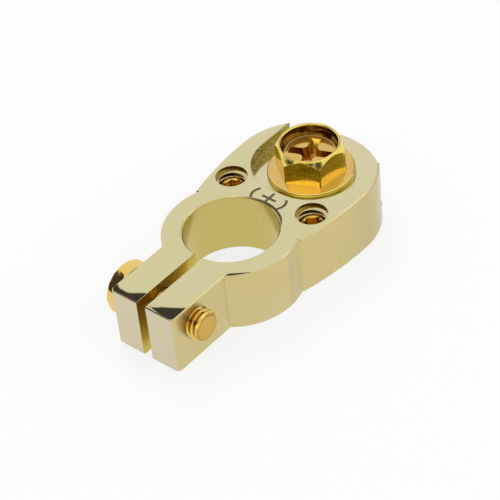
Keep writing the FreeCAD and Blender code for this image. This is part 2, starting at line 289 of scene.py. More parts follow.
def hex_prism(axis: Axis, width: float, low: float, high: float, turn: float) -> Piece:
    """Make a hexagonal prism about an axis.

    Args:
        axis: the prism's axis.
        width: across the flats, in millimetres.
        low: lower end along the axis, in millimetres.
        high: upper end along the axis, in millimetres.
        turn: turn about the axis in degrees.

    Returns:
        The prism, with softened long edges.
    """
    deselect_all()
    reach = width / 2 * HEX_CORNER * MM
    middle = axis.start + axis.along * (low + high) / 2 * MM
    rotation = axis.along.to_track_quat("Z", "Y").to_euler()
    bpy.ops.mesh.primitive_cylinder_add(
        vertices=6, radius=reach, depth=(high - low) * MM, location=middle, rotation=rotation)
    piece = bpy.context.active_object
    bpy.ops.object.transform_apply(location=False, rotation=True, scale=True)
    enter_edit()
    bpy.ops.transform.rotate(
        value=-math.radians(turn), orient_axis=axis.letter, center_override=middle)
    pick_edges(piece, lambda first, last: abs((last - first).normalized().dot(axis.along)) > 0.99)
    bpy.ops.mesh.bevel(offset=HEX_EDGE * MM, segments=3, affect="EDGES")
    leave_edit()
    return piece


@dataclass(frozen=True)
class TappedHole:
    """A tapped hole's wall and where its thread starts and ends along the axis. Millimetres."""

    name: str
    radius: float
    low: float
    high: float


@dataclass(frozen=True)
class Thread:
    """A metric screw thread, in millimetres, with its proportions as shares of the pitch.

    Heights are along the axis from its start, where a ridge of the screw is centred.
    """

    crest: float
    pitch: float
    depth_share: float = 0.61
    half_flat_share: float = 1 / 16
    widest_share: float = 0.45
    flank_degrees: float = 30.0
    steps: int = 40
    play: float = 0.05

    @property
    def depth(self) -> float:
        """Depth of the screw's groove."""
        return self.depth_share * self.pitch

    @property
    def half_flat(self) -> float:
        """Half of the width of a ridge's crest."""
        return self.half_flat_share * self.pitch

    def flank(self, depth: float) -> float:
        """Half of the width that a ridge gains over a depth."""
        return depth * math.tan(math.radians(self.flank_degrees))

    def rod(self, axis: Axis, turns_below: int, turns_above: int, trim: Sequence[Point]) -> Piece:
        """Make a threaded rod, trimmed to a turned profile.

        Args:
            axis: the rod's axis.
            turns_below: whole turns before the axis's start.
            turns_above: whole turns after it.
            trim: the profile, in millimetres.

        Returns:
            The rod.
        """
        root = self.crest - self.depth
        half_base = self.half_flat + self.flank(self.depth)
        bottom = -(turns_below + 0.5) * self.pitch
        top = (turns_above + 0.5) * self.pitch
        points = [(0.0, bottom), (root, bottom)]
        for turn in range(-turns_below, turns_above + 1):
            middle = turn * self.pitch
            points.append((root, middle - half_base))
            points.append((self.crest, middle - self.half_flat))
            points.append((self.crest, middle + self.half_flat))
            points.append((root, middle + half_base))
        points.extend([(root, top), (0.0, top)])
        rod = self.wind(axis, points)
        combine(rod, Cut.KEEP, turn_profile(axis, trim))
        return rod

    def lining(self, axis: Axis, hole: TappedHole) -> Piece:
        """Make the ridge of a tapped hole, which runs in the screw's groove.

        Args:
            axis: the screw's axis.
            hole: the hole.

        Returns:
            The ridge.
        """
        inner = self.crest - self.depth + 2.5 * self.play
        outer = hole.radius + self.play
        half_outer = min(self.half_flat + self.flank(outer - inner), self.widest_share * self.pitch)
        first = math.floor(hole.low / self.pitch) - 0.5
        last = math.ceil(hole.high / self.pitch) + 0.5
        middle = first * self.pitch
        points = [
            (outer, middle - half_outer),
            (inner, middle - self.half_flat),
            (inner, middle + self.half_flat),
            (outer, middle + half_outer),
        ]
        ridge = self.wind(axis, points, round(last - first))
        inside = inner - 1.0
        outside = outer + 0.5
        corners = [(inside, hole.low), (outside, hole.low), (outside, hole.high), (inside, hole.high)]
        combine(ridge, Cut.KEEP, turn_profile(axis, [*corners, corners[0]]))
        return ridge

    def wind(self, axis: Axis, points: Sequence[Point], turns: int = 0) -> Piece:
        """Wind a profile along a helix and close its ends.

        Args:
            axis: the helix's axis.
            points: the profile, in millimetres.
            turns: how many turns a profile that is a loop is wound, or 0 for an open one.

        Returns:
            The wound solid.
        """
        piece = draw_profile(axis, points)
        if turns:
            enter_edit()
            bpy.ops.mesh.edge_face_add()
            bpy.ops.mesh.delete(type="ONLY_FACE")
            leave_edit()
        modifier = piece.modifiers.new("wind", "SCREW")
        modifier.axis = axis.letter
        modifier.angle = math.tau
        modifier.screw_offset = self.pitch * MM
        modifier.iterations = max(turns, 1)
        modifier.steps = self.steps
        modifier.render_steps = self.steps
        modifier.use_merge_vertices = True
        modifier.merge_threshold = MERGE
        apply_all(piece)
        enter_edit()
        bpy.ops.mesh.remove_doubles(threshold=MERGE)
        bpy.ops.mesh.select_all(action="DESELECT")
        bpy.ops.mesh.select_non_manifold()
        bpy.ops.mesh.fill()
        leave_edit()
        clean_up(piece)
        return piece


def operator(operation: str, reflected: bool = False) -> Callable[["Value", "Number"], "Value"]:
    """Make a method of Value that takes one more number.

    Args:
        operation: the Math node's operation.
        reflected: whether the other number comes first.

    Returns:
        The method.
    """
    def method(self: "Value", other: "Number") -> "Value":
        """Add the Math node."""
        return self.calculate(operation, *((other, self) if reflected else (self, other)))

    return method


class Value:
    """A number that varies over a surface, whose operators add Math nodes."""

    def __init__(self, graph: "NodeGraph", socket: Socket) -> None:
        """Wrap a socket of a graph."""
        self.graph = graph
        self.socket = socket

    def calculate(self, operation: str, *terms: "Number") -> "Value":
        """Add a Math node.

        Args:
            operation: the node's operation.
            terms: the numbers that it works on.

        Returns:
            Its result.
        """
        inputs = dict(enumerate(terms))
        made = self.graph.node("ShaderNodeMath", {"operation": operation}, inputs)
        return Value(self.graph, made.outputs[0])

    __add__ = operator("ADD")
    __radd__ = operator("ADD", reflected=True)
    __sub__ = operator("SUBTRACT")
    __rsub__ = operator("SUBTRACT", reflected=True)
    __mul__ = operator("MULTIPLY")
    __rmul__ = operator("MULTIPLY", reflected=True)
    __pow__ = operator("POWER")
    __rpow__ = operator("POWER", reflected=True)
    larger = operator("MAXIMUM")

    def __abs__(self) -> "Value":
        """Drop the sign."""
        return self.calculate("ABSOLUTE", self)

    def rise(self, low: float, high: float) -> "Value":
        """Go smoothly from 0 at low to 1 at high.

        Args:
            low: where the rise starts.
            high: where it ends.

        Returns:
            A value from 0 to 1.
        """
        inputs = {"Value": self, "From Min": low, "From Max": high, "To Min": 0.0, "To Max": 1.0}
        made = self.graph.node("ShaderNodeMapRange", {"interpolation_type": "SMOOTHSTEP"}, inputs)
        return Value(self.graph, made.outputs[0])

    def fall(self, low: float, high: float) -> "Value":
        """Go smoothly from 1 at low to 0 at high."""
        return 1 - self.rise(low, high)

    def near(self, centre: float, inner: float, outer: float) -> "Value":
        """Give 1 up to the inner distance from a centre, and 0 past the outer one."""
        return abs(self - centre).fall(inner, outer)


Number = Union[Value, float, int]


class NodeGraph:
    """The nodes of one material or world."""

    def __init__(self, tree: bpy.types.NodeTree) -> None:
        """Start an empty graph."""
        self.tree = tree
        tree.nodes.clear()

    def node(self, kind: str, settings: Optional[dict[str, Any]] = None,
             inputs: Optional[dict[Union[str, int], Any]] = None) -> bpy.types.Node:
        """Add a node.

        Args:
            kind: the node's type.
            settings: its properties, set first.
            inputs: a value, a Value or a socket for each socket.

        Returns:
            The node.
        """
        made = self.tree.nodes.new(kind)
        for name, value in (settings or {}).items():
            setattr(made, name, value)
        for name, value in (inputs or {}).items():
            socket = made.inputs[name]
            if isinstance(value, Value):
                self.tree.links.new(value.socket, socket)
            elif isinstance(value, Socket):
                self.tree.links.new(value, socket)
            else:
                socket.default_value = value
        return made

    def position(self) -> Socket:
        """Give the place on the piece in millimetres."""
        coordinates = self.node("ShaderNodeTexCoord")
        return self.stretched(coordinates.outputs["Object"], (1 / MM, 1 / MM, 1 / MM))

    def stretched(self, vector: Socket, scale: Way, turn: float = 0.0) -> Socket:
        """Stretch and turn a place for a grain that runs one way.

        Args:
            vector: the place.
            scale: factors along x, y and z.
            turn: turn about z in degrees, before the factors.

        Returns:
            The stretched place.
        """
        if turn:
            rotation = (0, 0, math.radians(turn))
            turned = self.node("ShaderNodeMapping", {}, {"Vector": vector, "Rotation": rotation})
            vector = turned.outputs[0]
        made = self.node("ShaderNodeMapping", {}, {"Vector": vector, "Scale": scale})
        return made.outputs[0]

    def parts(self, vector: Socket) -> tuple[Value, Value, Value]:
        """Split a vector into its three numbers."""
        made = self.node("ShaderNodeSeparateXYZ", {}, {"Vector": vector})
        return tuple(Value(self, socket) for socket in made.outputs[:3])

    @staticmethod
    def distance(first: Value, second: Value) -> Value:
        """Join two offsets at right angles into a distance."""
        return (first * first + second * second) ** 0.5

    def noise(self, vector: Socket, scale: float, detail: float = 2.0,
              roughness: float = 0.5) -> Value:
        """Read a smooth random field.

        Args:
            vector: where it is read.
            scale: how many changes fit in a unit.
            detail: how many finer layers are added.
            roughness: how strong the finer layers are.

        Returns:
            A value about 0.5.
        """
        made = self.node(
            "ShaderNodeTexNoise", {},
            {"Vector": vector, "Scale": scale, "Detail": detail, "Roughness": roughness})
        return Value(self, made.outputs[0])

    def specks(self, vector: Socket, scale: float) -> tuple[Value, Value]:
        """Read scattered cells.

        Args:
            vector: where they are read.
            scale: how many cells fit in a unit.

        Returns:
            The distance from the nearest cell's centre, and a random number for that cell.
        """
        made = self.node("ShaderNodeTexVoronoi", {}, {"Vector": vector, "Scale": scale})
        pick, _, _ = self.parts(made.outputs["Color"])
        return Value(self, made.outputs["Distance"]), pick

    def mix(self, factor: Number, first: Any, second: Any) -> Socket:
        """Mix two colours.

        Args:
            factor: 0 for the first, 1 for the second.
            first: a colour or a socket.
            second: a colour or a socket.

        Returns:
            The mixed colour.
        """
        first, second = (
            item if isinstance(item, Socket) else (*item, 1.0)
            for item in (first, second))
        made = self.node("ShaderNodeMix", {"data_type": "RGBA"}, {0: factor, 6: first, 7: second})
        return made.outputs[2]

    def bump(self, height: Value, distance: float, base: Optional[Socket] = None) -> Socket:
        """Tilt the surface by a height field.

        Args:
            height: the field.
            distance: how far a height of 1 stands out, in millimetres.
            base: the normal that it starts from.

        Returns:
            The tilted normal.
        """
        inputs: dict[Union[str, int], Any] = {"Height": height, "Distance": distance * MM}
        if base is not None:
            inputs["Normal"] = base
        return self.node("ShaderNodeBump", {}, inputs).outputs[0]

    def lean(self, normal: Socket, share: Value, way: Way) -> Socket:
        """Lean a surface towards a direction.

        Args:
            normal: the normal that it starts from.
            share: how far it leans, from 0 to 1.
            way: the direction.

        Returns:
            The leaning normal.
        """
        mixed = self.node("ShaderNodeMix", {"data_type": "VECTOR"}, {0: share, 4: normal, 5: way})
        made = self.node(
            "ShaderNodeVectorMath", {"operation": "NORMALIZE"}, {0: mixed.outputs[1]})
        return made.outputs[0]

    def level(self, letter: str) -> Value:
        """Tell how squarely the surface faces along an axis.

        Args:
            letter: the axis, X, Y or Z.

        Returns:
            1 on faces across the axis, 0 on those along it.
        """
        made = self.node("ShaderNodeNewGeometry")
        index = "XYZ".index(letter)
        return abs(self.parts(made.outputs["True Normal"])[index])

    def soft_edges(self, radius: float) -> Socket:
        """Round the sharp edges in the shading, by a radius in millimetres."""
        return self.node("ShaderNodeBevel", {"samples": 6}, {"Radius": radius * MM}).outputs[0]

    def close(self, colour: Any, roughness: Number, metallic: float, normal: Socket) -> None:
        """End the graph in one surface shader.

        Args:
            colour: base colour.
            roughness: roughness.
            metallic: 1 for metal.
            normal: the surface's normal.
        """
        self.show(self.node("ShaderNodeBsdfPrincipled", {}, {
            "Base Color": colour, "Roughness": roughness, "Metallic": metallic, "Normal": normal}))

    def show(self, shader: bpy.types.Node, output: str = "ShaderNodeOutputMaterial") -> None:
        """Lead a shader to the graph's output."""
        self.node(output, {}, {"Surface": shader.outputs[0]})


def new_graph(name: str) -> tuple[Material, NodeGraph]:
    """Start a material with an empty graph.

    Args:
        name: the material's name.

    Returns:
        The material and its graph.
    """
    material = bpy.data.materials.new(name)
    material.use_nodes = True
    return material, NodeGraph(material.node_tree)


@dataclass(frozen=True)
class PocketPlace:
    """Where the lug's pocket lies, in millimetres."""

    half_width: float = 10.65
    front: float = 12.42
    corner: float = 9.2
    floor: float = 10.05

    @property
    def corner_back(self) -> float:
        """Where the rounded front corners end."""
        return self.front + self.corner


class Spot:
    """Where a shaded point lies on the block, in millimetres."""

    def __init__(self, graph: NodeGraph) -> None:
        """Read the point's place, and its distance from the post's axis."""
        self.graph = graph
        self.place = graph.position()
        self.x, self.y, self.z = graph.parts(self.place)
        self.across = graph.distance(self.x, self.y)


@dataclass(frozen=True)
class BlockPlating:
    """Pale champagne gold plate, mirror-polished over a cast block.

    Sizes are in millimetres, and a span is the stretch over which something comes in or goes.
    Polishing has rounded some edges of the top face more than others.
    """

    # Painted reflections: top, side, end and front are one plate, tinted face by face for what each
    # face mirrors.
    top: Colour = (0.640, 0.590, 0.330)
    side: Colour = (0.640, 0.545, 0.240)
    end: Colour = (0.540, 0.450, 0.210)
    front: Colour = (0.670, 0.600, 0.405)
    # Painted shade: a deeper tone inside the post's bore, and below it one in the slit between the
    # ears.
    bore: Colour = (0.600, 0.500, 0.160)
    slit_shade: Colour = (0.640, 0.500, 0.085)
    wall: Colour = (0.460, 0.370, 0.085)
    # Painted shade: a deeper tone on the upper walls of the screw holes.
    hole: Colour = (0.430, 0.300, 0.060)
    pit: Colour = (0.16, 0.12, 0.06)
    roughness: float = 0.10
    side_haze: float = 0.11
    ear_haze: float = 0.12
    wall_haze: float = 0.06
    slope_haze: float = 0.7
    pit_roughness: float = 0.4
    edge_radius: float = 0.16
    top_span: Span = (12.36, 12.46)
    top_fade: Span = (4.0, 33.0)
    ear_span: Span = (-14.0, -10.0)
    # Painted reflection: the sides darken to the end tone towards the rear over this span.
    rear_darkening_span: Span = (12.0, 27.0)
    # Painted shade: a band of the end tone about y = middle, where the ring meets the rear body.
    middle: float = 2.2
    junction_shade_span: Span = (1.0, 2.6)
    slit_span: Span = (1.045, 1.055)
    slit_back: Span = (-8.6, -8.5)
    hole_place: Point = (9.41, 11.3)
    hole_span: Span = (3.08, 3.13)
    hole_floor: Span = (5.0, 7.5)
    waist: Point = (12.5, 4.3)
    waist_span: Span = (0.3, 1.2)
    ear_front: float = -24.25
    ring_radius: float = 12.63
    bore_radius: float = 8.75
    ears_apart: Span = (-0.5, 0.5)
    left_lip: float = 1.25
    left_deep: float = 1.7
    left_deep_span: Span = (-4.2, -1.0)
    left_corner: float = 0.5
    left_corner_span: Span = (-7.2, -5.6)
    right_lip: float = 0.8
    right_slope: float = 0.64
    right_slope_start: float = 1.9
    lip_span: Span = (-1.1, 0.55)
    ragged: float = 0.6
    strip: float = 0.5
    strip_span: Span = (1.0, 6.5)
    neck: float = 0.75
    neck_start: Span = (7.1, 7.5)
    neck_span: Span = (7.6, 12.6)
    neck_back: Span = (-3.0, 0.0)
    rim: float = 0.6
    rim_start: Span = (-7.0, 3.0)
    rim_end: Span = (5.5, 8.2)
    rim_front: Span = (0.0, 3.0)
    slope: float = 0.12
    worn_way: Way = (0.0, -0.574, 0.819)
    waist_way: Way = (0.80, -0.60, 0.0)

    def build(self, pocket: PocketPlace) -> Material:
        """Make the material.

        Args:
            pocket: where the lug's pocket is, whose walls are rougher.

        Returns:
            The material.
        """
        material, graph = new_graph("block_plating")
        spot = Spot(graph)
        place, y, z = spot.place, spot.y, spot.z
        on_top = z.rise(*self.top_span)
        wall = self.pocket_wall(spot, pocket)
        facing = graph.level("Z").rise(0.8, 0.9) * z.rise(pocket.floor - 0.1, pocket.floor - 0.05)
        level = on_top.larger(facing)
        pit_distance, pit_pick = graph.specks(place, 0.5)
        pits = pit_distance.fall(0.035, 0.075) * pit_pick.rise(0.80, 0.82)
        colour = graph.mix(pits, self.tint(spot, level, wall), self.pit)
        smudge = graph.noise(place, 0.45, 4.0, 0.6).rise(0.45, 0.75)
        scratches = graph.noise(graph.stretched(place, (0.35, 9.0, 1.0), 32.0), 1.3, 3.0)
        worn = self.worn_edges(spot) * on_top
        haze = self.side_haze + y.fall(*self.ear_span) * self.ear_haze
        roughness = self.roughness + smudge * 0.03 + scratches.rise(0.6, 0.8) * 0.03
        roughness = roughness + pits * self.pit_roughness + wall * self.wall_haze
        roughness = roughness + (1 - level) * (1 - wall) * haze
        roughness = roughness + worn * (1 - worn) * self.slope_haze
        waves = graph.noise(place, 0.16, 1.0) * 0.055 + graph.noise(place, 0.6, 2.0) * 0.0045
        mottle = graph.noise(graph.stretched(place, (1.3, 1.3, 0.6)), 1.0, 3.0, 0.6) * wall
        height = waves + mottle * 0.55 - pits * 0.03
        normal = graph.bump(height, 1.0, graph.soft_edges(self.edge_radius))
        normal = graph.lean(normal, worn, self.worn_way)
        waist_x, waist_y = self.waist
        waist = spot.x.rise(waist_x - 0.9, waist_x - 0.4) * spot.x.fall(waist_x + 0.4, waist_x + 0.6)
        waist = waist * y.near(waist_y, *self.waist_span)
        normal = graph.lean(normal, waist * (1 - level), self.waist_way)
        graph.close(colour, roughness, 1.0, normal)
        return material

    def tint(self, spot: Spot, level: Value, wall: Value) -> Socket:
        """Colour the plate face by face: the tones paint the reflections each face shows, and darker
        tones paint shade in its hollows.

        Args:
            spot: the place on the block.
            level: 1 on the top face and the pocket's floor.
            wall: 1 on the pocket's walls.

        Returns:
            The colour.
        """
        graph, x, y = spot.graph, spot.x, spot.y
        cloud = graph.noise(spot.place, 0.11, 2.0).rise(0.42, 0.68)
        # Painted reflection: the top shifts to the front's pinker tone towards the rear; the cloud is
        # a random tone.
        upper = graph.mix(y.rise(*self.top_fade) * 0.5 + cloud * 0.25, self.top, self.front)
        inside = spot.across.fall(self.bore_radius + 0.55, self.bore_radius + 0.65)
        hole = graph.distance(abs(x) - self.hole_place[0], y - self.hole_place[1])
        layers = (
            (cloud * 0.2, self.front),
            # Painted reflection and shade: the end tone darkens the sides towards the rear and in a
            # band by the ring's junction.
            (y.rise(*self.rear_darkening_span), self.end),
            (y.near(self.middle, *self.junction_shade_span) * 0.6, self.end),
            # Painted reflection: the ear fronts take the front's mirrored tone.
            (y.fall(self.ear_front + 0.02, self.ear_front + 0.3), self.front),
            # Painted shade: the bore's deeper tone.
            (inside, self.bore),
            (wall, self.wall),
            # Painted shade: deeper tones in the slit and on the screw holes' walls.
            (abs(x).fall(*self.slit_span) * y.fall(*self.slit_back), self.slit_shade),
            (hole.fall(*self.hole_span) * spot.z.rise(*self.hole_floor), self.hole),
        )
        lower = self.side
        for share, colour in layers:
            lower = graph.mix(share, lower, colour)
        # Painted reflection: level faces take the top's tone and all others the side's, two tones of
        # one plate.
        return graph.mix(level, lower, upper)

    def worn_edges(self, spot: Spot) -> Value:
        """Find where polishing has worn the edges of the top face to a slope.

        Args:
            spot: the place on the block.

        Returns:
            1 on the worn edges and 0 elsewhere.
        """
        x, y, across = spot.x, spot.y, spot.across
        on_right = x.rise(*self.ears_apart)
        ragged = (spot.graph.noise(spot.place, 0.6, 1.0) - 0.5) * self.ragged
        left = self.left_lip + x.rise(*self.left_deep_span) * self.left_deep
        left = left + x.fall(*self.left_corner_span) * self.left_corner
        right = self.right_lip + (x - self.right_slope_start).larger(0.0) * self.right_slope
        depth = left * (1 - on_right) + right * on_right
        lips = (depth + ragged + self.ear_front - y).rise(*self.lip_span)
        strip = on_right * x.fall(*self.strip_span) * self.strip
        lips = lips * (y - self.ear_front - strip).rise(-0.1, 0.1)
        width = x.fall(*self.neck_span) * self.neck * x.rise(*self.neck_start)
        width = width * y.fall(*self.neck_back)
        neck = (across + width - self.ring_radius).rise(0.0, self.slope) * width.rise(0.02, 0.12)
        neck = neck * across.fall(self.ring_radius, self.ring_radius + self.slope)
        behind = y.rise(*self.rim_front)
        width = x.rise(*self.rim_start) * x.fall(*self.rim_end) * behind * self.rim
        rim = (self.bore_radius + 0.1 + width - across).rise(0.0, self.slope) * behind
        return lips.larger(neck).larger(rim)

    @staticmethod
    def pocket_wall(spot: Spot, pocket: PocketPlace) -> Value:
        """Find the pocket's walls.

        Args:
            spot: the place on the block.
            pocket: the pocket's place.

        Returns:
            1 on the walls and 0 elsewhere.
        """
        beside = abs(spot.x)
        behind = spot.y.rise(pocket.corner_back - 0.05, pocket.corner_back)
        side = beside.near(pocket.half_width, 0.04, 0.08) * behind
        across = (beside - (pocket.half_width - pocket.corner)).larger(0.0)
        bend = spot.graph.distance(across, spot.y - pocket.corner_back)
        bend = bend.near(pocket.corner, 0.04, 0.08) * (1 - behind)
        return side.larger(bend) * spot.z.rise(pocket.floor + 0.02, pocket.floor + 0.1)


@dataclass(frozen=True)
class BoltPlating:
    """Yellow gold plate on a screw: its sides are brushed along the axis, its flats are smooth. The
    sides' brighter yellow is painted light, and the grooves and recesses carry painted shade.
    """

    name: str
    letter: str = "Z"
    # Painted light: flat and side are one plate, and the sides' brighter yellow is set by which way a
    # face points.
    flat: Colour = (0.690, 0.460, 0.150)
    side: Colour = (0.850, 0.680, 0.150)
    warm: Colour = (0.640, 0.400, 0.110)
    # Painted shade: a darker tone in the thread's roots.
    groove: Colour = (0.450, 0.270, 0.045)
    # Painted shade: recess darkens the walls inside a head's recess or socket, and shade darkens the
    # cup's wall.
    recess: Colour = (0.620, 0.400, 0.060)
    shade: Colour = (0.230, 0.150, 0.035)
    # recess_radius and shade_radius bound that painted shade.
    recess_radius: float = 0.0
    shade_radius: float = 9.0
    roughness: float = 0.07
    grain_height: float = 0.010
    edge_radius: float = 0.12

    def build(self, axis: Axis, thread: Thread) -> Material:
        """Make the material.

        Args:
            axis: the screw's axis.
            thread: its thread, whose groove gets painted shade.

        Returns:
            The material.
        """
        material, graph = new_graph(self.name)
        place = graph.position()
        offsets = [value - start / MM for value, start in zip(graph.parts(place), axis.start)]
        height = offsets.pop("XYZ".index(self.letter))
        away = graph.distance(*offsets)
        along = graph.level(self.letter).fall(0.88, 0.97)
        cloud = graph.noise(place, 0.35, 3.0)
        scale = tuple(0.25 if letter == self.letter else 7.0 for letter in "XYZ")
        grain = graph.noise(graph.stretched(place, scale), 1.0, 4.0, 0.6)
        fine = graph.noise(place, 0.8, 1.0)
        colour = graph.mix(cloud.rise(0.35, 0.7) * 0.6, self.flat, self.warm)
        # Painted light: faces along the axis take the brighter side yellow; their brushing is in
        # roughness and bump.
        colour = graph.mix(along, colour, self.side)
        # Painted shade: the thread's roots are darkened.
        root = thread.crest - thread.depth
        groove = away.fall(root + 0.05, thread.crest - 0.1)
        groove = groove * away.rise(root - 0.1, root - 0.05) * self.threaded(height)
        colour = graph.mix(groove, colour, self.groove)
        # Painted shade on the recess walls, darkest on the cup's wall beyond shade_radius.
        recess = away.fall(self.recess_radius - 0.05, self.recess_radius)
        recess_shade = graph.mix(away.rise(self.shade_radius, self.shade_radius + 0.15),
                           self.recess, self.shade)
        colour = graph.mix(recess * along, colour, recess_shade)
        roughness = self.roughness + grain.rise(0.35, 0.75) * along * 0.12
        relief = grain * along * self.grain_height + fine * 0.010
        normal = graph.bump(relief, 1.0, graph.soft_edges(self.edge_radius))
        graph.close(colour, roughness, 1.0, normal)
        return material

    def threaded(self, height: Value) -> Value:
        """Tell the threaded length from the head: 1 on the thread."""
        return (height.rise if self.letter == "X" else height.fall)(-0.1, 0.0)


@dataclass(frozen=True)
class MarkStain:
    """Dark brown etched strokes of the polarity mark."""

    colour: Colour = (0.115, 0.055, 0.030)
    worn: Colour = (0.260, 0.170, 0.090)

    def build(self) -> Material:
        """Make the material.

        Returns:
            The material.
        """
        material, graph = new_graph("polarity_mark")
        place = graph.position()
        patches = graph.noise(place, 2.2, 4.0, 0.7)
        colour = graph.mix(patches.rise(0.48, 0.72), self.colour, self.worn)
        roughness = 0.42 + patches * 0.2
        normal = graph.bump(graph.noise(place, 6.0, 2.0), 0.01)
        graph.close(colour, roughness, 0.35, normal)
        return material


def dress(piece: Piece, material: Material) -> None:
    """Give a piece one material all over."""
    piece.data.materials.clear()
    piece.data.materials.append(material)


def report(piece: Piece) -> None:
    """Log a piece that is done."""
    LOG.info("%s: %d faces", piece.name, len(piece.data.polygons))


def hand_over(piece: Piece, name: str, material: Material, body: str,
              node: Optional[str] = None) -> None:
    """Shade and dress a modelled piece, and tie it to its body.

    Args:
        piece: the piece.
        name: its name.
        material: its material.
        body: the body that it rides on.
        node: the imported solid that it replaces, if any.
    """
    settle(piece)
    piece.name = name
    dress(piece, material)
    if node:
        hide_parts(node)
    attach(piece, body)
    report(piece)


@dataclass
class Block:
    """The one-piece block, which stays as packed and is dressed."""

    node: str = "clamp_body"
    slot: str = "block_plating"
    finish: BlockPlating = BlockPlating()
    pocket: PocketPlace = PocketPlace()

    def build(self, nodes: dict[str, Piece]) -> Material:
        """Dress the block.

        Args:
            nodes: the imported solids.

        Returns:
            The block's material.
        """
        material = self.finish.build(self.pocket)
        piece = nodes[self.node]
        dress(piece, material)
        report(piece)
        return material


@dataclass(kw_only=True)
class Screw:
    """A screw in its tapped hole. Sizes are in millimetres."""

    node: str
    thread: Thread
    finish: BoltPlating
    hole: TappedHole
    slot: str = "bolt_plating"
    axis: Axis = field(init=False)

    def __post_init__(self) -> None:
        """Read the screw's place from the frame."""
        self.seat(*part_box(self.node))

    def seat(self, low: Vector, high: Vector) -> None:
        """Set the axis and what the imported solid's box gives.

        Args:
            low: the box's lower corner in metres.
            high: its upper corner.
        """
        raise NotImplementedError

    def model(self) -> Piece:
        """Model the screw."""
        raise NotImplementedError

    def build(self) -> None:
        """Model the screw and dress it."""
        hand_over(self.model(), self.node + "_dressed", self.finish.build(self.axis, self.thread),
                  self.node, self.node)

    def line_hole(self, block: Block, material: Material) -> None:
        """Add the hole's thread to the block, in the block's material."""
        ridge = self.thread.lining(self.axis, self.hole)
        hand_over(ridge, self.hole.name, material, block.node)


